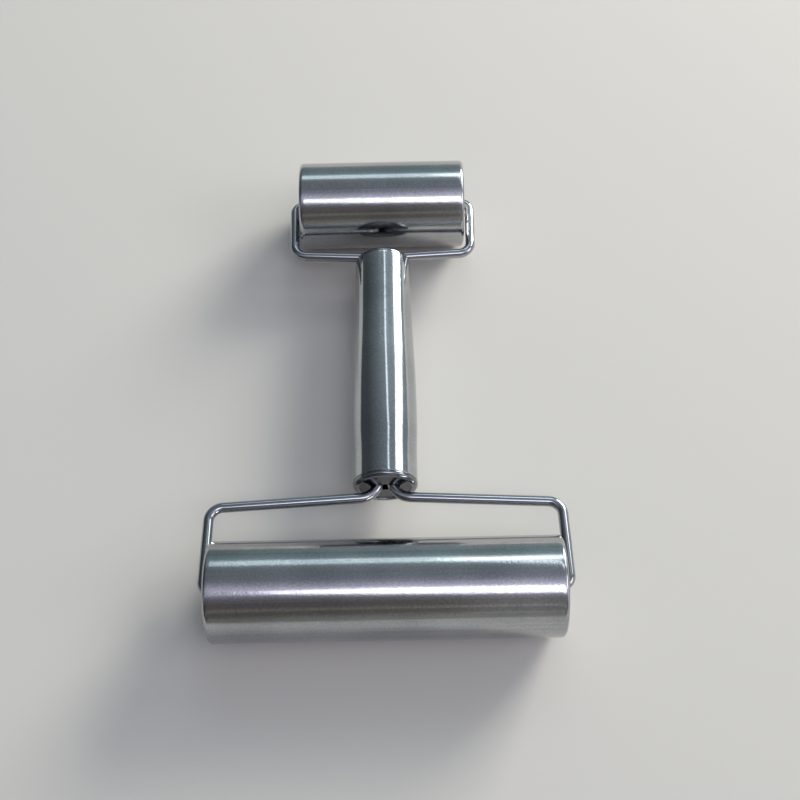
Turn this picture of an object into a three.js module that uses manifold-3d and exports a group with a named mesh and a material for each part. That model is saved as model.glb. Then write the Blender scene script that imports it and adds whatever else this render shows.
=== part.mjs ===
// Double dough roller: a hollow steel handle with a sprung wire fork at each end.
// One fork carries a long roller and the other a short one, both free to spin.
// Millimetres. +X runs along the axles, +Y from the large roller to the small one, +Z up.
// The origin lies midway between the axles, on the plane that both rollers rest on.
import * as THREE from 'three';
import { mergeVertices } from 'three/addons/utils/BufferGeometryUtils.js';
import Module from 'manifold-3d';

// Rollers: thin tube with its ends rolled in over the end caps
const ROLLER_RADIUS = 15;
const LARGE_ROLLER_LENGTH = 104.4;
const SMALL_ROLLER_LENGTH = 57;
const ROLLER_WALL = 0.8;
const ROLLER_BEND_RADIUS = 0.5;
const ROLLER_LIP_WIDTH = 2.6;

// Roller end caps: pressed sheet with a skirt, a dished web and a collar for the bush
const CAP_SHEET = 0.8;
const CAP_BEND_RADIUS = 0.4;
const CAP_SKIRT_LENGTH = 6;
const CAP_FLOOR_MARGIN = 1.5;
const CAP_DISH_DEPTH = 1.2;
const CAP_COLLAR_LENGTH = 6;

// Bushes: flanged nylon sleeves pressed into the collars
const BUSH_WALL = 1.6;
const BUSH_FLANGE_WIDTH = 1.6;
const BUSH_FLANGE_THICKNESS = 1.4;
const BUSH_TAIL_LENGTH = 1;
const BUSH_MOUTH_CHAMFER = 0.4;

// Fork wires: one bent wire for each side, its inward tip is the roller's axle
const WIRE_RADIUS = 1.6;
const SHOULDER_BEND_RADIUS = 4.4;
const AXLE_BEND_RADIUS = 3;
const AXLE_LENGTH = 14;
const ARM_SWEEP_DEGREES = 3.1;
const SIDE_FLARE_DEGREES = 1.2;
const LARGE_FORK_GAP = 10.4;
const SMALL_FORK_GAP = 5;
const LARGE_EXIT_GAP = 1.25;
const SMALL_EXIT_GAP = 0.3;

// Ferrules: flat oval sleeves crimped on the two wire tangs inside the handle
const FERRULE_LENGTH = 14;
const FERRULE_WALL = 1.2;
const TANG_TAIL_LENGTH = 3;

// Handle: hollow, with its belly nearer the large roller
const HANDLE_LENGTH = 85.5;
const HANDLE_LARGE_END_RADIUS = 10.05;
const HANDLE_SMALL_END_RADIUS = 9.4;
const HANDLE_BELLY_SWELL = 0.35;
const HANDLE_BELLY_DISTANCE = 24;
const HANDLE_SEAT_MARGIN = 1;
const HANDLE_WALL = 0.8;

// Handle end caps: turned, with a round raised rim about a sunk face
const END_RIM_LAND = 0.3;
const END_RIM_ROUND = 1.2;
const END_RIM_CREST = 0.3;
const END_FACE_RECESS = 0.45;
const END_FACE_THICKNESS = 2.55;
const END_SPIGOT_LENGTH = 5;
const END_SPIGOT_WALL = 1.2;

// Clearances: pieces that are pressed together, and pieces that turn
const SEAT_GAP = 0.3;
const RUNNING_GAP = 0.25;
const SIDE_PLAY = 0.8;

// Facets
const ROLLER_SIDES = 48;
const CAP_SIDES = 24;
const BUSH_SIDES = 16;
const HANDLE_SIDES = 36;
const WIRE_SIDES = 10;
const BEND_STEPS = 6;
const OVAL_STEPS = 5;
const ROUND_STEPS = 4;
const BELLY_STEPS = 6;

const steel = (color, roughness) => new THREE.MeshStandardMaterial({ color, roughness, metalness: 1 });
const ROLLER_STEEL = steel(0x8f959a, 0.34);
const HANDLE_STEEL = steel(0x9aa1a6, 0.2);
const WIRE_STEEL = steel(0xb3b5ba, 0.16);
const PRESSED_STEEL = steel(0x8b8e90, 0.42);
const BUSH_NYLON = new THREE.MeshStandardMaterial({ color: 0xe4e2d9, roughness: 0.55, metalness: 0 });

const FORKS = {
  large: {
    rollerLength: LARGE_ROLLER_LENGTH,
    gap: LARGE_FORK_GAP,
    exitGap: LARGE_EXIT_GAP,
    endRadius: HANDLE_LARGE_END_RADIUS,
  },
  small: {
    rollerLength: SMALL_ROLLER_LENGTH,
    gap: SMALL_FORK_GAP,
    exitGap: SMALL_EXIT_GAP,
    endRadius: HANDLE_SMALL_END_RADIUS,
  },
};

// Sizes that follow from the ones above
const ARM_SWEEP = THREE.MathUtils.degToRad(ARM_SWEEP_DEGREES);
const SIDE_FLARE = THREE.MathUtils.degToRad(SIDE_FLARE_DEGREES);
const TANG_OFFSET = WIRE_RADIUS + SEAT_GAP / 2;
const BUSH_BORE_RADIUS = WIRE_RADIUS + RUNNING_GAP;
const BUSH_BARREL_RADIUS = BUSH_BORE_RADIUS + BUSH_WALL;
const BUSH_FLANGE_RADIUS = BUSH_BARREL_RADIUS + BUSH_FLANGE_WIDTH;
const CAP_FACE_DEPTH = ROLLER_WALL + SEAT_GAP;
const CAP_FLOOR_DEPTH = CAP_FACE_DEPTH + CAP_DISH_DEPTH;
const HANDLE_BELLY_RADIUS = HANDLE_LARGE_END_RADIUS + HANDLE_BELLY_SWELL;
const END_RIM_HEIGHT = END_RIM_LAND + END_RIM_ROUND;
const FERRULE_START = END_FACE_RECESS + END_FACE_THICKNESS + SEAT_GAP;
const TANG_DEPTH = FERRULE_START + FERRULE_LENGTH + TANG_TAIL_LENGTH;

const SIDES = [-1, 1];

const wasm = await Module();
wasm.setup();

function toSolid(geometry) {
  const bare = geometry.clone();
  bare.deleteAttribute('normal');
  bare.deleteAttribute('uv');
  const welded = mergeVertices(bare);
  const vertProperties = new Float32Array(welded.attributes.position.array);
  const triVerts = new Uint32Array(welded.index.array);
  return new wasm.Manifold(new wasm.Mesh({ numProp: 3, vertProperties, triVerts }));
}

function toGeometry(solid) {
  const mesh = solid.getMesh();
  const geometry = new THREE.BufferGeometry();
  geometry.setAttribute('position', new THREE.BufferAttribute(mesh.vertProperties, 3));
  geometry.setIndex(new THREE.BufferAttribute(mesh.triVerts, 1));
  geometry.computeVertexNormals();
  return geometry;
}

function named(name, geometry, material) {
  const mesh = new THREE.Mesh(geometry, material);
  mesh.name = name;
  return mesh;
}

const point = (x, y) => new THREE.Vector2(x, y);

// Points of a round corner in a profile, between two angles
function corner(centreX, centreY, radius, fromAngle, toAngle) {
  return Array.from({ length: ROUND_STEPS + 1 }, (_, i) => {
    const angle = fromAngle + ((toAngle - fromAngle) * i) / ROUND_STEPS;
    return point(centreX + radius * Math.cos(angle), centreY + radius * Math.sin(angle));
  });
}

// Closed ring turned about Y; its flats, one of them straight down, touch the true round
function turned(profile, sides) {
  const half = Math.PI / sides;
  const points = [...profile, profile[0]].map((p) => point(p.x / Math.cos(half), p.y));
  return new THREE.LatheGeometry(points, sides, half);
}

// The same ring with its axis along X
function turnedAlongX(profile, sides) {
  return turned(profile, sides).rotateZ(-Math.PI / 2);
}

function rollerShell(length) {
  const bore = ROLLER_RADIUS - ROLLER_WALL;
  const lip = ROLLER_RADIUS - ROLLER_LIP_WIDTH;
  const edge = ROLLER_BEND_RADIUS + ROLLER_WALL;
  const round = ROLLER_RADIUS - edge;
  const end = length / 2;
  const inner = end - ROLLER_WALL;
  const bend = end - edge;
  const profile = [
    point(lip, -inner),
    point(lip, -end),
    ...corner(round, -bend, edge, -Math.PI / 2, 0),
    ...corner(round, bend, edge, 0, Math.PI / 2),
    point(lip, end),
    point(lip, inner),
    point(round, inner),
    point(bore, bend),
    point(bore, -bend),
    point(round, -inner),
  ];
  return turnedAlongX(profile, ROLLER_SIDES);
}

// Pressed cap: Y is the depth from the roller's end, so the sheet faces down to Y = 0
function rollerCap() {
  const skirt = ROLLER_RADIUS - ROLLER_WALL - SEAT_GAP;
  const edge = CAP_BEND_RADIUS + CAP_SHEET;
  const round = skirt - edge;
  const face = CAP_FACE_DEPTH;
  const floor = CAP_FLOOR_DEPTH;
  const bend = face + edge;
  const dishFloor = BUSH_FLANGE_RADIUS + CAP_FLOOR_MARGIN;
  const dish = dishFloor + CAP_DISH_DEPTH;
  const bore = BUSH_BARREL_RADIUS + SEAT_GAP;
  const collar = floor + CAP_SHEET + CAP_COLLAR_LENGTH;
  const profile = [
    point(bore, floor),
    point(dishFloor, floor),
    point(dish, face),
    ...corner(round, bend, edge, -Math.PI / 2, 0),
    point(skirt, face + CAP_SKIRT_LENGTH),
    point(skirt - CAP_SHEET, face + CAP_SKIRT_LENGTH),
    point(skirt - CAP_SHEET, bend),
    point(round, face + CAP_SHEET),
    point(dish, face + CAP_SHEET),
    point(dishFloor, floor + CAP_SHEET),
    point(bore + CAP_SHEET, floor + CAP_SHEET),
    point(bore + CAP_SHEET, collar),
    point(bore, collar),
  ];
  return turnedAlongX(profile, CAP_SIDES);
}

// Flanged bush: Y is again the depth from the roller's end
function rollerBush() {
  const seat = CAP_FLOOR_DEPTH - SEAT_GAP;
  const face = seat - BUSH_FLANGE_THICKNESS;
  const tail = CAP_FLOOR_DEPTH + CAP_SHEET + CAP_COLLAR_LENGTH + BUSH_TAIL_LENGTH;
  const profile = [
    point(BUSH_BORE_RADIUS, face + BUSH_MOUTH_CHAMFER),
    point(BUSH_BORE_RADIUS + BUSH_MOUTH_CHAMFER, face),
    point(BUSH_FLANGE_RADIUS, face),
    point(BUSH_FLANGE_RADIUS, seat),
    point(BUSH_BARREL_RADIUS, seat),
    point(BUSH_BARREL_RADIUS, tail),
    point(BUSH_BORE_RADIUS, tail),
  ];
  return turnedAlongX(profile, BUSH_SIDES);
}

// A roller about local X; the cap and bush of each end point into it
function roller(prefix, length, sideName) {
  const group = new THREE.Group();
  group.add(named(`${prefix}_roller_shell`, rollerShell(length), ROLLER_STEEL));
  for (const side of SIDES) {
    const end = new THREE.Group();
    end.position.x = (side * length) / 2;
    end.rotation.z = side > 0 ? Math.PI : 0;
    end.add(named(`${prefix}_roller_${sideName(side)}_cap`, rollerCap(), PRESSED_STEEL));
    end.add(named(`${prefix}_roller_${sideName(side)}_bush`, rollerBush(), BUSH_NYLON));
    group.add(end);
  }
  return group;
}

// A path of straight runs and round bends, with one station at each end of a run and bend step
class BentWire extends THREE.Curve {
  constructor(corners, bendRadii) {
    super();
    const last = corners.length - 1;
    const heading = (i) => corners[i + 1].clone().sub(corners[i]).normalize();
    this.stations = [{ at: corners[0], along: heading(0) }];
    bendRadii.forEach((radius, i) => this.addBend(corners[i + 1], heading(i), heading(i + 1), radius));
    this.stations.push({ at: corners[last], along: heading(last - 1) });
  }

  addBend(vertex, from, to, radius) {
    const turn = from.angleTo(to);
    const setback = radius * Math.tan(turn / 2);
    const inward = to.clone().addScaledVector(from, -from.dot(to)).normalize();
    const centre = vertex.clone().addScaledVector(from, -setback).addScaledVector(inward, radius);
    for (let step = 0; step <= BEND_STEPS; step += 1) {
      const angle = (turn * step) / BEND_STEPS;
      const along = from.clone().multiplyScalar(Math.cos(angle)).addScaledVector(inward, Math.sin(angle));
      const outward = from.clone().multiplyScalar(Math.sin(angle)).addScaledVector(inward, -Math.cos(angle));
      this.stations.push({ at: centre.clone().addScaledVector(outward, radius), along });
    }
  }

  get steps() {
    return this.stations.length - 1;
  }

  between(u, key) {
    const place = u * this.steps;
    const index = Math.min(Math.floor(place), this.steps - 1);
    return this.stations[index][key].clone().lerp(this.stations[index + 1][key], place - index);
  }

  getPoint(t, target = new THREE.Vector3()) {
    return target.copy(this.between(t, 'at'));
  }

  getPointAt(u, target) {
    return this.getPoint(u, target);
  }

  getTangentAt(u, target = new THREE.Vector3()) {
    return target.copy(this.between(u, 'along')).normalize();
  }
}

function roundBar(path, radius) {
  const section = new THREE.Shape(
    Array.from({ length: WIRE_SIDES }, (_, i) => {
      const angle = (2 * Math.PI * i) / WIRE_SIDES;
      return point(radius * Math.cos(angle), radius * Math.sin(angle));
    }),
  );
  return new THREE.ExtrudeGeometry(section, { steps: path.steps, extrudePath: path });
}

// How far a wire, bending from the ferrule's mouth, has spread where it leaves the end cap's face
function splayAtFace(bendRadius) {
  const inside = bendRadius - WIRE_RADIUS;
  return inside - Math.sqrt(inside ** 2 - (FERRULE_START - END_FACE_RECESS) ** 2);
}

// Places of one fork, with Y counted outwards from the handle's end
function forkLayout(fork) {
  const exit = WIRE_RADIUS + fork.exitGap;
  const axleX = fork.rollerLength / 2 + SIDE_PLAY + WIRE_RADIUS;
  const sideRun = WIRE_RADIUS + fork.gap + ROLLER_RADIUS;
  const shoulderX = axleX - sideRun * Math.tan(SIDE_FLARE);
  const shoulderY = exit + (shoulderX - TANG_OFFSET) * Math.tan(ARM_SWEEP);
  const exitBendRadius = (exit + FERRULE_START) / Math.tan((Math.PI / 2 - ARM_SWEEP) / 2);
  return {
    exit,
    axleX,
    shoulderX,
    shoulderY,
    axleY: shoulderY + sideRun,
    exitBendRadius,
    exitSplay: splayAtFace(exitBendRadius),
  };
}

function forkWire(layout, side) {
  const place = (x, y) => new THREE.Vector3(side * x, y, 0);
  const corners = [
    place(TANG_OFFSET, -TANG_DEPTH),
    place(TANG_OFFSET, layout.exit),
    place(layout.shoulderX, layout.shoulderY),
    place(layout.axleX, layout.axleY),
    place(layout.axleX - AXLE_LENGTH, layout.axleY),
  ];
  const bends = [layout.exitBendRadius, SHOULDER_BEND_RADIUS, AXLE_BEND_RADIUS];
  return roundBar(new BentWire(corners, bends), WIRE_RADIUS);
}

// Flat oval about both tangs, standing off the wires by the given margin and drawn out by the splay
function tangOval(margin, splay = 0, PathType = THREE.Shape) {
  const radius = WIRE_RADIUS + margin;
  const offset = TANG_OFFSET + splay;
  const oval = new PathType();
  oval.absarc(offset, 0, radius, -Math.PI / 2, Math.PI / 2, false);
  oval.absarc(-offset, 0, radius, Math.PI / 2, 1.5 * Math.PI, false);
  oval.closePath();
  return oval;
}

// Extrudes a section of the X-Z plane from one Y to another
function alongY(section, fromY, toY) {
  const options = { depth: toY - fromY, bevelEnabled: false, curveSegments: OVAL_STEPS };
  return new THREE.ExtrudeGeometry(section, options).rotateX(-Math.PI / 2).translate(0, fromY, 0);
}

function ferrule() {
  const sleeve = tangOval(SEAT_GAP + FERRULE_WALL);
  sleeve.holes.push(tangOval(SEAT_GAP, 0, THREE.Path));
  return alongY(sleeve, -FERRULE_START - FERRULE_LENGTH, -FERRULE_START);
}

// Handle end cap: Y = 0 is the crest of its rim, and the spigot points into the handle
function handleEndCap(endRadius, slotSplay) {
  const spigot = endRadius - HANDLE_WALL - SEAT_GAP;
  const hollow = spigot - END_SPIGOT_WALL;
  const back = -END_FACE_RECESS - END_FACE_THICKNESS;
  const tail = -END_RIM_HEIGHT - END_SPIGOT_LENGTH;
  const crest = endRadius - END_RIM_ROUND;
  const pilot = WIRE_RADIUS / 2;
  const profile = [
    point(pilot, back),
    point(hollow, back),
    point(hollow, tail),
    point(spigot, tail),
    point(spigot, -END_RIM_HEIGHT),
    point(endRadius, -END_RIM_HEIGHT),
    ...corner(crest, -END_RIM_ROUND, END_RIM_ROUND, 0, Math.PI / 2),
    ...corner(crest - END_RIM_CREST, -END_FACE_RECESS, END_FACE_RECESS, Math.PI / 2, Math.PI),
    point(pilot, -END_FACE_RECESS),
  ];
  const blank = toSolid(turned(profile, HANDLE_SIDES));
  const slot = toSolid(alongY(tangOval(SEAT_GAP, slotSplay), 2 * back, -back));
  return toGeometry(blank.subtract(slot));
}

// One end of the tool, with Y pointing out of the handle; the large end is turned half round
function toolEnd(prefix, fork, turnedRound) {
  const layout = forkLayout(fork);
  const sideName = (side) => ((side > 0) === turnedRound ? 'left' : 'right');
  const group = new THREE.Group();
  group.rotation.z = turnedRound ? Math.PI : 0;
  group.add(named(`handle_${prefix}_end_cap`, handleEndCap(fork.endRadius, layout.exitSplay), HANDLE_STEEL));
  group.add(named(`${prefix}_fork_ferrule`, ferrule(), PRESSED_STEEL));
  for (const side of SIDES) {
    group.add(named(`${prefix}_fork_${sideName(side)}_wire`, forkWire(layout, side), WIRE_STEEL));
  }
  const spinning = roller(prefix, fork.rollerLength, sideName);
  spinning.position.y = layout.axleY;
  group.add(spinning);
  return group;
}

// Smooth rise or fall of a turned outline between two points, level at both
function swell(from, to) {
  const middle = (from.y + to.y) / 2;
  const curve = new THREE.CubicBezierCurve(from, point(from.x, middle), point(to.x, middle), to);
  return curve.getPoints(BELLY_STEPS);
}

// Handle tube from its large end upwards, thickest at the belly
function handleTube() {
  const trim = END_RIM_HEIGHT + SEAT_GAP;
  const top = HANDLE_LENGTH - trim;
  const lowSeat = trim + END_SPIGOT_LENGTH + HANDLE_SEAT_MARGIN;
  const highSeat = top - END_SPIGOT_LENGTH - HANDLE_SEAT_MARGIN;
  const largeSeat = point(HANDLE_LARGE_END_RADIUS, lowSeat);
  const belly = point(HANDLE_BELLY_RADIUS, HANDLE_BELLY_DISTANCE);
  const smallSeat = point(HANDLE_SMALL_END_RADIUS, highSeat);
  const profile = [
    point(HANDLE_LARGE_END_RADIUS, trim),
    ...swell(largeSeat, belly),
    ...swell(belly, smallSeat).slice(1),
    point(HANDLE_SMALL_END_RADIUS, top),
    point(HANDLE_SMALL_END_RADIUS - HANDLE_WALL, top),
    point(HANDLE_SMALL_END_RADIUS - HANDLE_WALL, highSeat),
    point(HANDLE_BELLY_RADIUS - HANDLE_WALL, HANDLE_BELLY_DISTANCE),
    point(HANDLE_LARGE_END_RADIUS - HANDLE_WALL, lowSeat),
    point(HANDLE_LARGE_END_RADIUS - HANDLE_WALL, trim),
  ];
  return turned(profile, HANDLE_SIDES);
}

function doubleDoughRoller() {
  const largeReach = forkLayout(FORKS.large).axleY;
  const smallReach = forkLayout(FORKS.small).axleY;
  const axleSpacing = largeReach + HANDLE_LENGTH + smallReach;

  const handle = named('handle_tube', handleTube(), HANDLE_STEEL);
  handle.position.y = largeReach - axleSpacing / 2;

  const large = toolEnd('large', FORKS.large, true);
  large.position.y = handle.position.y;

  const small = toolEnd('small', FORKS.small, false);
  small.position.y = handle.position.y + HANDLE_LENGTH;

  const tool = new THREE.Group();
  tool.position.z = ROLLER_RADIUS;
  tool.add(handle, large, small);
  return tool;
}

export default doubleDoughRoller();
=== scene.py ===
import math
from collections import namedtuple

import bmesh
import bpy
from mathutils import Matrix, Vector
from mathutils.geometry import interpolate_bezier


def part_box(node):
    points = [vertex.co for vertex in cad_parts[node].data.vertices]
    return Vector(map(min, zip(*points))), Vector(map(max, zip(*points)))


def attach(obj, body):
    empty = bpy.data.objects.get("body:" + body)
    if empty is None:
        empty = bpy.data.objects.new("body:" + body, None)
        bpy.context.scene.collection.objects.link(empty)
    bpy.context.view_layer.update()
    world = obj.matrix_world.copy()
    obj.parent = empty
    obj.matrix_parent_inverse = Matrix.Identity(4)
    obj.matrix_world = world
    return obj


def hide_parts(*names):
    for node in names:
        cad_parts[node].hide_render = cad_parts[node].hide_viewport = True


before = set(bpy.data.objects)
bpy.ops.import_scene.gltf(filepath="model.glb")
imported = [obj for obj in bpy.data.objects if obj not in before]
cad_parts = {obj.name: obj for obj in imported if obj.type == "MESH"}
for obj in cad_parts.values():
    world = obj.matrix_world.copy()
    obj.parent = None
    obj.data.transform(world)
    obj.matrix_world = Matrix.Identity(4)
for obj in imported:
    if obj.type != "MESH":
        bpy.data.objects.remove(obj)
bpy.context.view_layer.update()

MM = 0.001
X, Y, Z = Vector((1, 0, 0)), Vector((0, 1, 0)), Vector((0, 0, 1))
ENDS = ("large", "small")


# Sizes, in millimetres

# A length too small to see, by which a skin stays inside its CAD solid and points are told apart
HAIR = 0.001
# Points closer than this are one
MERGE_DISTANCE = 0.0001

# Roller tube, its ends rolled in to a lip
ROLLER_WALL = 0.8
ROLLER_EDGE_ROUND = 1.3
ROLLER_LIP_WIDTH = 2.6
ROLLER_LIP_ROUND = 0.25

# Pressed cap in each end of a roller: a dished face, a skirt in the tube, a collar for the bush
CAP_SHEET = 0.8
CAP_SEAT_GAP = 0.3
CAP_FACE_DEPTH = 1.1
CAP_EDGE_ROUND = 1.2
CAP_SKIRT_LENGTH = 6
CAP_DISH_DEPTH = 1.2
CAP_DISH_ROUND = 0.3
CAP_FLOOR_RADIUS = 6.55
CAP_BORE_RADIUS = 3.75
CAP_BORE_ROUND = 0.3
CAP_COLLAR_LENGTH = 6

# Flanged bush in each cap
BUSH_BORE_RADIUS = 1.85
BUSH_BARREL_RADIUS = 3.45
BUSH_FLANGE_RADIUS = 5.05
BUSH_FLANGE_THICKNESS = 1.4
BUSH_FACE_DEPTH = 0.6
BUSH_TAIL_DEPTH = 10.1
BUSH_EDGE_ROUND = 0.35

# Grip: straight where the end caps sit in it, thickest at its belly
HANDLE_BELLY_RADIUS = 10.4
HANDLE_BELLY_DISTANCE = 24
HANDLE_SEAT_LENGTH = 7.8
HANDLE_END_FLAT = 0.6
HANDLE_WALL = 0.8
HANDLE_EDGE_ROUND = 0.15

# End caps of the grip: a raised rim about a sunk face, and a spigot inside the grip
END_RIM_HEIGHT = 1.5
END_RIM_WIDTH = 1.95
END_OUTER_ROUND = 1.2
END_INNER_ROUND = 0.4
END_FACE_RECESS = 0.45
END_FACE_THICKNESS = 2.55
END_SPIGOT_STEP = 1.1
END_SPIGOT_LENGTH = 5
END_SPIGOT_WALL = 1.2
END_SLOT_RADIUS = 1.9
LARGE_END_SEAM = 0.12
SMALL_END_SEAM = 0.03

# Fork wires, from the tang in the grip over the arm and the side to the axle in the roller
WIRE_RADIUS = 1.6
WIRE_TIP_ROUND = 0.3
WIRE_EDGE_SUPPORT = 0.4
TANG_OFFSET = 1.75
TANG_DEPTH = 20.3
BEND_START_DEPTH = 3.3
SIDE_RUN = {"large": 27, "small": 21.6}
AXLE_LENGTH = 14
SHOULDER_BEND_RADIUS = 4.4
AXLE_BEND_RADIUS = 3
ARM_SWEEP = math.radians(3.1)
SIDE_FLARE = math.radians(1.2)

# How finely round things are cut, so that polished steel shows no facets
ROLLER_STEPS = 192
HANDLE_STEPS = 160
SMALL_STEPS = 96
WIRE_STEPS = 32
BEND_STEPS = 20
SWELL_POINTS = 12
ROUND_SEGMENTS = 8
TIP_SEGMENTS = 4
SHARP_ANGLE = math.radians(35)


# Shapes

def piece(name, bm, body, slot, material, *nodes):
    """Makes the bmesh a smooth piece that stands for its CAD nodes and rides on their body."""
    mesh = bpy.data.meshes.new(name)
    for face in bm.faces:
        face.smooth = True
    bm.to_mesh(mesh)
    bm.free()
    mesh.set_sharp_from_angle(angle=SHARP_ANGLE)
    mesh.materials.append(material)
    made = bpy.data.objects.new(name, mesh)
    bpy.context.scene.collection.objects.link(made)
    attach(made, body)
    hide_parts(*nodes)
    return made


def placed(at, heading):
    """A place whose own Z axis points along the heading."""
    return Matrix.Translation(at) @ heading.to_track_quat("Z", "Y").to_matrix().to_4x4()


def turned(outline, centre, axis, steps):
    """Spins a closed outline about a level axis, like work on a lathe.

    A corner of the outline is (along, radius), or (along, radius, round) for a rounded one.
    """
    bm = bmesh.new()
    corners = [bm.verts.new(centre + axis * along * MM + Z * radius * MM)
               for along, radius, *_ in outline]
    for here, following in zip(corners, corners[1:] + corners[:1]):
        bm.edges.new((here, following))
    for corner, (_, _, *rounds) in zip(corners, outline):
        for size in rounds:
            bmesh.ops.bevel(bm, geom=[corner], offset=size * MM, offset_type="OFFSET",
                            affect="VERTICES", segments=ROUND_SEGMENTS, profile=0.5, material=-1)
    bmesh.ops.spin(bm, geom=bm.verts[:] + bm.edges[:], cent=centre, axis=axis, dvec=(0, 0, 0),
                   angle=2 * math.pi, steps=steps, use_merge=True, use_duplicate=False)
    bmesh.ops.remove_doubles(bm, verts=bm.verts[:], dist=MERGE_DISTANCE * MM)
    bmesh.ops.recalc_face_normals(bm, faces=bm.faces[:])
    return bm


def extruded(bm, ring, step):
    """Carries a ring of edges along by the step and returns the new ring."""
    grown = bmesh.ops.extrude_edge_only(bm, edges=ring)["geom"]
    verts = [g for g in grown if isinstance(g, bmesh.types.BMVert)]
    bmesh.ops.translate(bm, verts=verts, vec=step)
    edges = [g for g in grown if isinstance(g, bmesh.types.BMEdge)]
    return [e for e in edges if all(v in verts for v in e.verts)]


def bent_wire(corners, bends):
    """Draws a round wire through the corners, with a bend of its own radius at each inner one."""
    bm = bmesh.new()
    headings = [(b - a).normalized() for a, b in zip(corners, corners[1:])]
    bmesh.ops.create_circle(bm, cap_ends=True, radius=WIRE_RADIUS * MM, segments=WIRE_STEPS,
                            matrix=placed(corners[0], headings[0]))
    first_tip = ring = bm.edges[:]
    at = corners[0]
    # Rings just inside the ends of a straight run keep its shading straight
    support = WIRE_EDGE_SUPPORT * MM
    for index, along in enumerate(headings):
        end = corners[index + 1]
        turning = index < len(bends)
        if turning:
            following = headings[index + 1]
            turn = along.angle(following)
            radius = bends[index] * MM
            end = end - along * radius * math.tan(turn / 2)
        run = (end - at).length
        for step in (support, run - 2 * support, support):
            ring = extruded(bm, ring, along * step)
        at = end
        if turning:
            axis = along.cross(following).normalized()
            inward = axis.cross(along)
            hub = end + inward * radius
            made = bmesh.ops.spin(bm, geom=ring, cent=hub, axis=axis, dvec=(0, 0, 0), angle=turn,
                                  steps=BEND_STEPS, use_merge=False, use_duplicate=False)
            ring = [g for g in made["geom_last"] if isinstance(g, bmesh.types.BMEdge)]
            at = hub + Matrix.Rotation(turn, 3, axis) @ (end - hub)
    bmesh.ops.contextual_create(bm, geom=ring)
    bmesh.ops.recalc_face_normals(bm, faces=bm.faces[:])
    bmesh.ops.bevel(bm, geom=first_tip + ring, offset=WIRE_TIP_ROUND * MM, offset_type="OFFSET",
                    affect="EDGES", segments=TIP_SEGMENTS, profile=0.5, material=-1)
    return bm


# Materials

# Marks of the polish, in millimetres. On the real steel they are about 0.1 mm and finer, too fine
# for the render, so the lines and the grain are drawn coarser, just enough to show.
LAY_PITCH = 0.8
LAY_REACH = 60
GRAIN_SIZE = 0.6
# Slow drift of the shade over a piece, about as wide as a fingertip
CLOUD_SIZE = 18

# The middle of a noise and how far it strays, the grain's weight against the drift, and how much
# the gloss changes from line to line
NOISE_MIDDLE = 0.5
LAY_STRAY = 0.2
MARKS_STRAY = 0.25
GRAIN_SHARE = 0.8
GLOSS_DRIFT = 0.08
# Turns the stretch of a highlight from round the axis to along it
QUARTER_TURN = 0.25

# Moulded nylon: its skin is grained at about 0.1 mm, drawn coarser to show
NYLON_GRAIN_SIZE = 0.5
NYLON_GRAIN_HEIGHT = 0.02
NYLON_RELIEF = 0.2
NYLON_GLOSS = {"To Min": 0.4, "To Max": 0.58}
NYLON_IOR = 1.53


def linear(code):
    """Linear colour of an sRGB hex value."""
    parts = [int(code[i:i + 2], 16) / 255 for i in (1, 3, 5)]
    return [c / 12.92 if c <= 0.04045 else ((c + 0.055) / 1.055) ** 2.4 for c in parts] + [1]


def node(tree, kind, inputs=None, **settings):
    """Adds a node; an input takes a plain value or another node's output."""
    made = tree.nodes.new(kind)
    for key, value in settings.items():
        setattr(made, key, value)
    for key, value in (inputs or {}).items():
        if isinstance(value, bpy.types.NodeSocket):
            tree.links.new(value, made.inputs[key])
        else:
            made.inputs[key].default_value = value
    return made


def emptied(owner):
    """Node tree of a material or world, with nothing in it yet."""
    owner.use_nodes = True
    owner.node_tree.nodes.clear()
    return owner.node_tree


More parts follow.
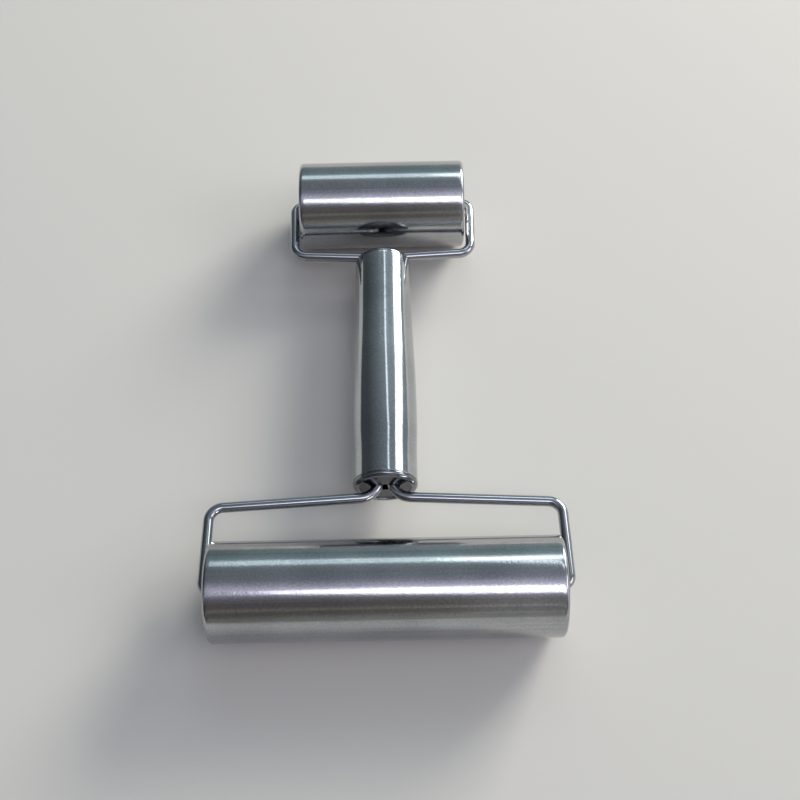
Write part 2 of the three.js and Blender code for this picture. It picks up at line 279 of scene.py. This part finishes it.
def steel(name, pale, deep, lay, axis, rough, stretch, grain_height, hairlines=0):
    """Stainless steel whose lay, the fine lines of its last polish, is round the axis or along it.

    Its marks play between a pale and a deep shade. Across its lines each highlight is drawn out
    by stretch, and hairlines is how strongly the lines show among the marks.
    """
    material = bpy.data.materials.new(name)
    tree = emptied(material)
    place = node(tree, "ShaderNodeTexCoord").outputs["Object"]
    fine, slow = 1 / (LAY_PITCH * MM), 1 / (LAY_REACH * MM)
    lines = node(tree, "ShaderNodeMapping", {
        "Vector": place,
        "Scale": [fine if (one == axis) == (lay == "round") else slow for one in "XYZ"]})
    lay_noise = node(tree, "ShaderNodeTexNoise", {
        "Vector": lines.outputs[0], "Scale": 1, "Detail": 2})
    grain = node(tree, "ShaderNodeTexNoise", {
        "Vector": place, "Scale": 1 / (GRAIN_SIZE * MM), "Detail": 1})
    cloud = node(tree, "ShaderNodeTexNoise", {
        "Vector": place, "Scale": 1 / (CLOUD_SIZE * MM), "Detail": 2})
    speckle = node(tree, "ShaderNodeMath", {
        0: grain.outputs[0], 1: GRAIN_SHARE, 2: cloud.outputs[0]}, operation="MULTIPLY_ADD")
    marks = node(tree, "ShaderNodeMath", {
        0: lay_noise.outputs[0], 1: hairlines, 2: speckle.outputs[0]}, operation="MULTIPLY_ADD")
    middle = NOISE_MIDDLE * (GRAIN_SHARE + 1 + hairlines)
    shade = node(tree, "ShaderNodeMapRange", {
        "Value": marks.outputs[0],
        "From Min": middle - MARKS_STRAY, "From Max": middle + MARKS_STRAY})
    tint = node(tree, "ShaderNodeMix", {
        "Factor": shade.outputs[0], "A": linear(pale), "B": linear(deep)}, data_type="RGBA")
    gloss = node(tree, "ShaderNodeMapRange", {
        "Value": lay_noise.outputs[0],
        "From Min": NOISE_MIDDLE - LAY_STRAY, "From Max": NOISE_MIDDLE + LAY_STRAY,
        "To Min": rough * (1 - GLOSS_DRIFT), "To Max": rough * (1 + GLOSS_DRIFT)})
    relief = node(tree, "ShaderNodeBump", {
        "Height": grain.outputs[0], "Strength": 1, "Distance": grain_height * MM})
    round_axis = node(tree, "ShaderNodeTangent", direction_type="RADIAL", axis=axis)
    shader = node(tree, "ShaderNodeBsdfPrincipled", {
        "Base Color": tint.outputs["Result"],
        "Metallic": 1,
        "Roughness": gloss.outputs[0],
        "Normal": relief.outputs[0],
        "Anisotropic": stretch,
        "Anisotropic Rotation": QUARTER_TURN if lay == "round" else 0,
        "Tangent": round_axis.outputs[0]})
    node(tree, "ShaderNodeOutputMaterial", {"Surface": shader.outputs[0]})
    return material


def nylon(name, pale, deep):
    """Moulded nylon, its colour, gloss and height playing over a faint grain."""
    material = bpy.data.materials.new(name)
    tree = emptied(material)
    place = node(tree, "ShaderNodeTexCoord").outputs["Object"]
    grain = node(tree, "ShaderNodeTexNoise", {
        "Vector": place, "Scale": 1 / (NYLON_GRAIN_SIZE * MM), "Detail": 3})
    tint = node(tree, "ShaderNodeMix", {
        "Factor": grain.outputs[0], "A": linear(pale), "B": linear(deep)}, data_type="RGBA")
    gloss = node(tree, "ShaderNodeMapRange", {"Value": grain.outputs[0], **NYLON_GLOSS})
    relief = node(tree, "ShaderNodeBump", {
        "Height": grain.outputs[0], "Strength": NYLON_RELIEF, "Distance": NYLON_GRAIN_HEIGHT * MM})
    shader = node(tree, "ShaderNodeBsdfPrincipled", {
        "Base Color": tint.outputs["Result"],
        "Roughness": gloss.outputs[0],
        "Normal": relief.outputs[0],
        "IOR": NYLON_IOR})
    node(tree, "ShaderNodeOutputMaterial", {"Surface": shader.outputs[0]})
    return material


# 304 tube, fine-ground along its length: bands of light that end sharply but have soft, faintly
# grained edges, and hairlines from end to end
ROLLER_STEEL = steel(
    "fine_ground_stainless_tube", "#bdbec0", "#a6a8ab", lay="along", axis="X",
    rough=0.119, stretch=0.65, grain_height=0.012, hairlines=0.7)
# Polished 304 tube: nearly a mirror, with just enough lay to soften the edges of what it shows
HANDLE_STEEL = steel(
    "polished_stainless_tube", "#c4c7c9", "#aaaeb1", lay="round", axis="Y",
    rough=0.11, stretch=0.3, grain_height=0.005)
# Bright drawn wire: the hardest polish, small dark and white lines along it
WIRE_STEEL = steel(
    "bright_stainless_wire", "#acaeb2", "#a0a3a7", lay="round", axis="X",
    rough=0.09, stretch=0, grain_height=0.001)
# Turned end caps: a plain polish, a little darker than the grip
CAP_STEEL = steel(
    "turned_stainless_cap", "#929598", "#84888b", lay="round", axis="Y",
    rough=0.12, stretch=0.2, grain_height=0.001)
# Sunk face at the large end: still shiny, but its colour is darkened as painted shade, standing in
# for the shadowed floor it mirrors in its recess
SHADED_FACE_STEEL = steel(
    "stainless_face_with_painted_shade", "#626669", "#54585b", lay="round", axis="Y",
    rough=0.14, stretch=0, grain_height=0.002)
# Pressed sheet: the dull grey of steel as it leaves the press
PRESSED_STEEL = steel(
    "pressed_stainless_sheet", "#b0b2b3", "#a3a6a8", lay="round", axis="X",
    rough=0.34, stretch=0.3, grain_height=0.004)
# Natural moulded nylon: milky white with a low, uneven sheen
BUSH_NYLON = nylon("moulded_natural_nylon", "#e6e3da", "#d6d2c6")


# Rollers

def roller_cap(radius, end, inward):
    """Pressed cap: a dished face, with the skirt and the collar running back from it."""
    face = CAP_FACE_DEPTH
    floor = face + CAP_DISH_DEPTH
    dish = CAP_FLOOR_RADIUS + CAP_DISH_DEPTH
    skirt = radius - ROLLER_WALL - CAP_SEAT_GAP
    skirt_end = face + CAP_SKIRT_LENGTH
    collar = CAP_BORE_RADIUS + CAP_SHEET
    collar_end = floor + CAP_SHEET + CAP_COLLAR_LENGTH
    outline = [
        (floor, CAP_BORE_RADIUS, CAP_BORE_ROUND), (floor, CAP_FLOOR_RADIUS, CAP_DISH_ROUND),
        (face, dish, CAP_DISH_ROUND), (face, skirt, CAP_EDGE_ROUND),
        (skirt_end, skirt), (skirt_end, skirt - CAP_SHEET),
        (face + CAP_SHEET, skirt - CAP_SHEET), (face + CAP_SHEET, dish),
        (floor + CAP_SHEET, CAP_FLOOR_RADIUS), (floor + CAP_SHEET, collar),
        (collar_end, collar), (collar_end, CAP_BORE_RADIUS),
    ]
    return turned(outline, end, inward, SMALL_STEPS)


def roller_bush(end, inward):
    """Bush: a flange against the cap's face and a barrel in its collar."""
    seat = BUSH_FACE_DEPTH + BUSH_FLANGE_THICKNESS
    outline = [
        (BUSH_FACE_DEPTH, BUSH_BORE_RADIUS, BUSH_EDGE_ROUND),
        (BUSH_FACE_DEPTH, BUSH_FLANGE_RADIUS, BUSH_EDGE_ROUND),
        (seat, BUSH_FLANGE_RADIUS), (seat, BUSH_BARREL_RADIUS),
        (BUSH_TAIL_DEPTH, BUSH_BARREL_RADIUS), (BUSH_TAIL_DEPTH, BUSH_BORE_RADIUS),
    ]
    return turned(outline, end, inward, SMALL_STEPS)


def roller(prefix):
    """Shell, pressed end caps and bushes of one roller, from the place of its CAD shell."""
    shell = f"{prefix}_roller_shell"
    body = f"{prefix}_roller"
    low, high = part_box(shell)
    middle = (low + high) / 2
    half = (high.x - low.x) / 2 / MM
    radius = (high.y - low.y) / 2 / MM - HAIR
    lip = radius - ROLLER_LIP_WIDTH
    # A ring just inside each rounded edge keeps the shading of the tube straight
    support = half - ROLLER_EDGE_ROUND - ROLLER_WALL
    inner_half, inner_radius = half - ROLLER_WALL, radius - ROLLER_WALL
    inner_round = ROLLER_EDGE_ROUND - ROLLER_WALL
    outline = [
        (-half, lip, ROLLER_LIP_ROUND), (-half, radius, ROLLER_EDGE_ROUND),
        (-support, radius), (support, radius),
        (half, radius, ROLLER_EDGE_ROUND), (half, lip, ROLLER_LIP_ROUND),
        (inner_half, lip), (inner_half, inner_radius, inner_round),
        (-inner_half, inner_radius, inner_round), (-inner_half, lip),
    ]
    piece(f"{prefix}_roller_tube", turned(outline, middle, X, ROLLER_STEPS),
          body, "roller_steel", ROLLER_STEEL, shell)
    for side, inward in (("left", X), ("right", -X)):
        end = middle - inward * half * MM
        cap = f"{prefix}_roller_{side}_cap"
        piece(f"{cap}_pressing", roller_cap(radius, end, inward),
              body, "pressed_steel", PRESSED_STEEL, cap)
        bush = f"{prefix}_roller_{side}_bush"
        piece(f"{bush}_sleeve", roller_bush(end, inward), body, "bush_nylon", BUSH_NYLON, bush)


for prefix in ENDS:
    roller(prefix)


# Handle

Layout = namedtuple("Layout", "crest outward end_radius exit_y exit_bend shoulder axle")


def fork_layout(prefix):
    """Places of one fork, with y counted outwards from the crest of the handle's end cap."""
    bend_start = AXLE_BEND_RADIUS * math.tan(math.pi / 4 + SIDE_FLARE / 2)
    bend_hub = bend_start * math.sin(SIDE_FLARE) + AXLE_BEND_RADIUS * math.cos(SIDE_FLARE)
    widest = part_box(f"{prefix}_fork_right_wire")[1].x / MM
    axle_x = widest - WIRE_RADIUS - AXLE_BEND_RADIUS + bend_hub
    low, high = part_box(f"{prefix}_roller_shell")
    axle_y = (low.y + high.y) / 2
    low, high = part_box(f"handle_{prefix}_end_cap")
    outward = Y if axle_y > 0 else -Y
    crest = Vector((0, high.y if axle_y > 0 else low.y, (low.z + high.z) / 2))
    reach = abs(axle_y - crest.y) / MM
    shoulder_x = axle_x - SIDE_RUN[prefix] * math.tan(SIDE_FLARE)
    shoulder_y = reach - SIDE_RUN[prefix]
    exit_y = shoulder_y - (shoulder_x - TANG_OFFSET) * math.tan(ARM_SWEEP)
    return Layout(
        crest=crest, outward=outward, end_radius=(high.x - low.x) / 2 / MM, exit_y=exit_y,
        exit_bend=(exit_y + BEND_START_DEPTH) / math.tan((math.pi / 2 - ARM_SWEEP) / 2),
        shoulder=(shoulder_x, shoulder_y), axle=(axle_x, reach))


LAYOUTS = {prefix: fork_layout(prefix) for prefix in ENDS}


def end_cap(prefix, face_steel):
    """Turned end cap: a raised rim about a sunk face, with a flat oval slot for the two wires."""
    name = f"handle_{prefix}_end_cap"
    layout = LAYOUTS[prefix]
    crest, outward, radius = layout.crest, layout.outward, layout.end_radius
    rim = radius - END_RIM_WIDTH
    back = END_FACE_RECESS + END_FACE_THICKNESS
    spigot = radius - END_SPIGOT_STEP
    hollow = spigot - END_SPIGOT_WALL
    tail = END_RIM_HEIGHT + END_SPIGOT_LENGTH
    outline = [
        (-END_FACE_RECESS, END_SLOT_RADIUS), (-END_FACE_RECESS, rim),
        (0, rim, END_INNER_ROUND), (0, radius, END_OUTER_ROUND),
        (-END_RIM_HEIGHT, radius, HANDLE_EDGE_ROUND), (-END_RIM_HEIGHT, spigot),
        (-tail, spigot), (-tail, hollow), (-back, hollow), (-back, END_SLOT_RADIUS),
    ]
    bm = turned(outline, crest, outward, HANDLE_STEPS)

    # The round bore is parted in the middle and drawn out to the slot, as wide as the wires splay
    bore = [v for v in bm.verts
            if (v.co - crest).cross(Y).length < (END_SLOT_RADIUS + HAIR) * MM]
    inside = layout.exit_bend - WIRE_RADIUS
    splay = inside - math.sqrt(inside ** 2 - (BEND_START_DEPTH - END_FACE_RECESS) ** 2)
    for side in (-1, 1):
        half = [v for v in bore if side * v.co.x > HAIR * MM]
        bmesh.ops.translate(bm, verts=half, vec=X * side * (TANG_OFFSET + splay) * MM)

    # The sunk face takes the second steel; at the large end that steel is darkened as painted
    # shade
    face_depth = END_FACE_RECESS + END_FACE_THICKNESS / 2
    for face in bm.faces:
        place = face.calc_center_median() - crest
        if place.length < rim * MM and place.dot(outward) > -face_depth * MM:
            face.material_index = 1
    cap = piece(f"{name}_turning", bm, "handle", "handle_steel", CAP_STEEL, name)
    cap.data.materials.append(face_steel)


def handle_tube():
    """Hollow grip from cap to cap; the caps are pressed in with only a hair of seam."""
    large, small = LAYOUTS["large"], LAYOUTS["small"]
    trim = END_RIM_HEIGHT + LARGE_END_SEAM
    base = large.crest + Y * trim * MM
    length = (small.crest.y - base.y) / MM - END_RIM_HEIGHT - SMALL_END_SEAM
    large_seat = Vector((HANDLE_SEAT_LENGTH - trim, large.end_radius, 0))
    belly = Vector((HANDLE_BELLY_DISTANCE - trim, HANDLE_BELLY_RADIUS, 0))
    small_seat = Vector((length - HANDLE_SEAT_LENGTH + trim, small.end_radius, 0))
    swell = []
    for a, b in ((large_seat, belly), (belly, small_seat)):
        half_way = Vector(((b.x - a.x) / 2, 0, 0))
        curve = interpolate_bezier(a, a + half_way, b - half_way, b, SWELL_POINTS)
        swell += [tuple(point.xy) for point in curve[:-1]]
    outline = [
        (0, large.end_radius, HANDLE_EDGE_ROUND), (HANDLE_END_FLAT, large.end_radius),
        *swell, tuple(small_seat.xy),
        (length - HANDLE_END_FLAT, small.end_radius),
        (length, small.end_radius, HANDLE_EDGE_ROUND),
        (length, small.end_radius - HANDLE_WALL), (belly.x, HANDLE_BELLY_RADIUS - HANDLE_WALL),
        (0, large.end_radius - HANDLE_WALL),
    ]
    piece("handle_grip", turned(outline, base, Y, HANDLE_STEPS),
          "handle", "handle_steel", HANDLE_STEEL, "handle_tube")


end_cap("large", SHADED_FACE_STEEL)
end_cap("small", HANDLE_STEEL)
handle_tube()


# Forks

def fork(prefix):
    """The two wires of a fork, from their tangs in the handle to the axle tips in the roller."""
    layout = LAYOUTS[prefix]
    axle_x, axle_y = layout.axle
    path = [(TANG_OFFSET, -TANG_DEPTH), (TANG_OFFSET, layout.exit_y), layout.shoulder,
            (axle_x, axle_y), (axle_x - AXLE_LENGTH, axle_y)]
    for side, name in ((-X, "left"), (X, "right")):
        wire = f"{prefix}_fork_{name}_wire"
        corners = [layout.crest + (side * x + layout.outward * y) * MM for x, y in path]
        bm = bent_wire(corners, [layout.exit_bend, SHOULDER_BEND_RADIUS, AXLE_BEND_RADIUS])
        piece(f"{wire}_bend", bm, "handle", "wire_steel", WIRE_STEEL, wire)


def ferrule(prefix):
    """The sleeve crimped on a fork's tangs stays the CAD solid and only gets its steel."""
    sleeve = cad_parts[f"{prefix}_fork_ferrule"]
    sleeve.data.materials.clear()
    sleeve.data.materials.append(PRESSED_STEEL)


for prefix in ENDS:
    fork(prefix)
    ferrule(prefix)


# Stage: a plain pale floor that goes on as far as the eye sees, in metres

FLOOR_COLOUR = "#d4d2cb"
FLOOR_HALF = 8
# Between these distances the floor fades to the haze, so that no edge of it shows; the haze is a
# glow painted in place of the lit floor
HAZE_COLOUR = "#878784"
HAZE_FROM, HAZE_TO = 0.6, 2
# Haze and room are brighter to the right, where the main light comes from; in the haze on the
# floor this is painted light. X of the way looked in, and the strength there
HAZE_SIDES = {"From Min": -0.1, "From Max": 0.6, "To Min": 0.75, "To Max": 2}
ROOM_SIDES = {"From Min": -0.75, "From Max": 0.3, "To Min": 0.4, "To Max": 1.85}
# How far above the level the haze gives way to the room
HAZE_RISE = 0.03


def pale_floor():
    """Matt painted floor under the tool, which takes its shadow; far off, the eye and the steel
    see the haze, a glow painted in place of the lit floor.
    """
    bm = bmesh.new()
    bmesh.ops.create_grid(bm, x_segments=1, y_segments=1, size=FLOOR_HALF)
    mesh = bpy.data.meshes.new("pale_floor")
    bm.to_mesh(mesh)
    bm.free()
    material = bpy.data.materials.new("pale_floor_paint")
    tree = emptied(material)
    paint = node(tree, "ShaderNodeBsdfDiffuse", {"Color": linear(FLOOR_COLOUR)})
    place = node(tree, "ShaderNodeTexCoord").outputs["Object"]
    way = node(tree, "ShaderNodeVectorMath", {0: place}, operation="NORMALIZE")
    across = node(tree, "ShaderNodeSeparateXYZ", {0: way.outputs[0]})
    # The haze glows brighter to the right: painted light for the side that the main light falls on
    side = node(tree, "ShaderNodeMapRange", {"Value": across.outputs["X"], **HAZE_SIDES})
    haze = node(tree, "ShaderNodeEmission", {
        "Color": linear(HAZE_COLOUR), "Strength": side.outputs[0]})
    away = node(tree, "ShaderNodeVectorMath", {0: place}, operation="LENGTH")
    far = node(tree, "ShaderNodeMapRange", {
        "Value": away.outputs["Value"], "From Min": HAZE_FROM, "From Max": HAZE_TO},
        interpolation_type="SMOOTHSTEP")
    # Only what is looked at fades, straight or in the steel; the light on the floor stays
    path = node(tree, "ShaderNodeLightPath")
    eye_or_steel = node(tree, "ShaderNodeMath", {
        0: path.outputs["Is Camera Ray"], 1: path.outputs["Is Glossy Ray"]}, operation="MAXIMUM")
    seen = node(tree, "ShaderNodeMath", {
        0: eye_or_steel.outputs[0], 1: path.outputs["Is Transmission Ray"]}, operation="MAXIMUM")
    share = node(tree, "ShaderNodeMath", {
        0: far.outputs[0], 1: seen.outputs[0]}, operation="MULTIPLY")
    mixed = node(tree, "ShaderNodeMixShader", {
        0: share.outputs[0], 1: paint.outputs[0], 2: haze.outputs[0]})
    node(tree, "ShaderNodeOutputMaterial", {"Surface": mixed.outputs[0]})
    mesh.materials.append(material)
    floor = bpy.data.objects.new("pale_floor", mesh)
    bpy.context.scene.collection.objects.link(floor)


pale_floor()


# Light: a dim studio with a few soft boxes, each one a band on the steel

def soft_box(name, at, look_at, width, height, glow, tint, shape="RECTANGLE", turn=0):
    """A lit panel facing a point; glow is its brightness as the eye sees it, 1 for white paper."""
    lamp = bpy.data.lights.new(name, "AREA")
    lamp.shape = shape
    lamp.size, lamp.size_y = width, height
    area = width * height * (math.pi / 4 if shape == "ELLIPSE" else 1)
    lamp.energy = glow * math.pi * area
    lamp.color = linear(tint)[:3]
    made = bpy.data.objects.new(name, lamp)
    away = Vector(at) - Vector(look_at)
    made.matrix_world = placed(at, away) @ Matrix.Rotation(math.radians(turn), 4, "Z")
    bpy.context.scene.collection.objects.link(made)


# Bands along the rollers
soft_box("ceiling_light", (0.82, -2.07, 3.90), (0.82, 0, 0), width=2.98, height=1.16,
         glow=2.8, tint="#f2f2ff", shape="ELLIPSE", turn=-19)
soft_box("far_strip", (0.10, 2.70, 2.60), (0.10, 0, 0), width=1.70, height=0.80,
         glow=1.1, tint="#dcebf2")
soft_box("far_strip_bright_end", (0.55, 2.62, 2.60), (0.55, 0, 0), width=0.80, height=0.42,
         glow=2.6, tint="#e4f2f6")
soft_box("front_right_panel", (0.40, -0.90, 0.55), (0.40, 0, 0), width=0.64, height=0.80,
         glow=0.12, tint="#dfe6f2")
# Bands along the handle
soft_box("right_window", (0.814, 0.60, 0.58), (0, 0.60, 0), width=0.60, height=0.45,
         glow=3.0, tint="#f4fbfd", turn=-18)
soft_box("right_slit", (0.475, 1.50, 2.45), (0, 1.50, 0), width=1.50, height=0.20,
         glow=1.8, tint="#e3edf4", turn=18)
# Main light, from the right and from the far right
soft_box("right_side_box", (1.24, -0.18, 0.78), (0, 0, 0), width=0.60, height=0.50,
         glow=2.4, tint="#fffaf2")
soft_box("far_right_box", (1.24, 1.40, 0.76), (0, 0, 0), width=0.84, height=0.72,
         glow=20, tint="#fffaf2")

# Colours of the room by Y of the way looked in: dark on the near side, a pale ceiling overhead,
# slate on the far side
ROOM_COLOURS = [
    (-1.00, "#7f7f7a"), (-0.95, "#57544f"), (-0.90, "#5c5955"), (-0.875, "#85827f"),
    (-0.85, "#5c5957"), (-0.78, "#565351"), (-0.64, "#625f60"), (-0.515, "#777681"),
    (-0.47, "#9190a0"), (-0.43, "#bcbccd"), (-0.27, "#c3c3d4"), (-0.17, "#b1b2c3"),
    (-0.09, "#999ba9"), (0.00, "#83858f"), (0.10, "#767b86"), (0.19, "#71777f"),
    (0.50, "#71797f"), (0.60, "#7a868b"), (0.70, "#8b9a9f"), (0.78, "#87989d"),
    (0.88, "#74878b"), (0.95, "#697a7e"), (1.00, "#7c888a"),
]


def studio_world():
    """The dim room about the tool, with the floor's haze at its foot."""
    world = bpy.data.worlds.new("dim_studio")
    tree = emptied(world)
    bpy.context.scene.world = world
    place = node(tree, "ShaderNodeTexCoord").outputs["Generated"]
    way = node(tree, "ShaderNodeSeparateXYZ", {0: place})
    depth = node(tree, "ShaderNodeMapRange", {"Value": way.outputs["Y"], "From Min": -1})
    ramp = node(tree, "ShaderNodeValToRGB", {0: depth.outputs[0]})
    stops = ramp.color_ramp.elements
    while len(stops) < len(ROOM_COLOURS):
        stops.new(0.5)
    for stop, (y, code) in zip(stops, ROOM_COLOURS):
        stop.position = (y + 1) / 2
        stop.color = linear(code)
    side = node(tree, "ShaderNodeMapRange", {"Value": way.outputs["X"], **ROOM_SIDES})
    haze_side = node(tree, "ShaderNodeMapRange", {"Value": way.outputs["X"], **HAZE_SIDES})
    low = node(tree, "ShaderNodeMapRange", {
        "Value": way.outputs["Z"], "From Min": 0, "From Max": HAZE_RISE, "To Min": 1, "To Max": 0})
    room = node(tree, "ShaderNodeBackground", {
        "Color": ramp.outputs[0], "Strength": side.outputs[0]})
    haze = node(tree, "ShaderNodeBackground", {
        "Color": linear(HAZE_COLOUR), "Strength": haze_side.outputs[0]})
    both = node(tree, "ShaderNodeMixShader", {
        0: low.outputs[0], 1: room.outputs[0], 2: haze.outputs[0]})
    node(tree, "ShaderNodeOutputWorld", {"Surface": both.outputs[0]})


studio_world()


# Camera, where the photo was taken from

CAMERA_AIM = Vector((5.05, -7.83, 15)) * MM
CAMERA_DISTANCE = 372.08 * MM
CAMERA_ELEVATION = math.radians(60.81)
CAMERA_YAW = math.radians(0.37)
CAMERA_ROLL = math.radians(-1.49)
SENSOR_WIDTH = 36
FOCAL_LENGTH = 52.02
NEAREST_SEEN = 0.01


def photo_camera():
    """Camera that looks down at the tool from its near side."""
    camera = bpy.data.cameras.new("camera")
    camera.sensor_width = SENSOR_WIDTH
    camera.lens = FOCAL_LENGTH
    camera.clip_start = NEAREST_SEEN
    viewer = bpy.data.objects.new("camera", camera)
    tilt = math.pi / 2 - CAMERA_ELEVATION
    facing = (Matrix.Rotation(CAMERA_YAW, 4, "Z") @ Matrix.Rotation(tilt, 4, "X")
              @ Matrix.Rotation(CAMERA_ROLL, 4, "Z"))
    eye = CAMERA_AIM + facing.to_3x3() @ Z * CAMERA_DISTANCE
    viewer.matrix_world = Matrix.Translation(eye) @ facing
    bpy.context.scene.collection.objects.link(viewer)
    bpy.context.scene.camera = viewer


photo_camera()
bpy.context.scene.view_settings.view_transform = "Standard"
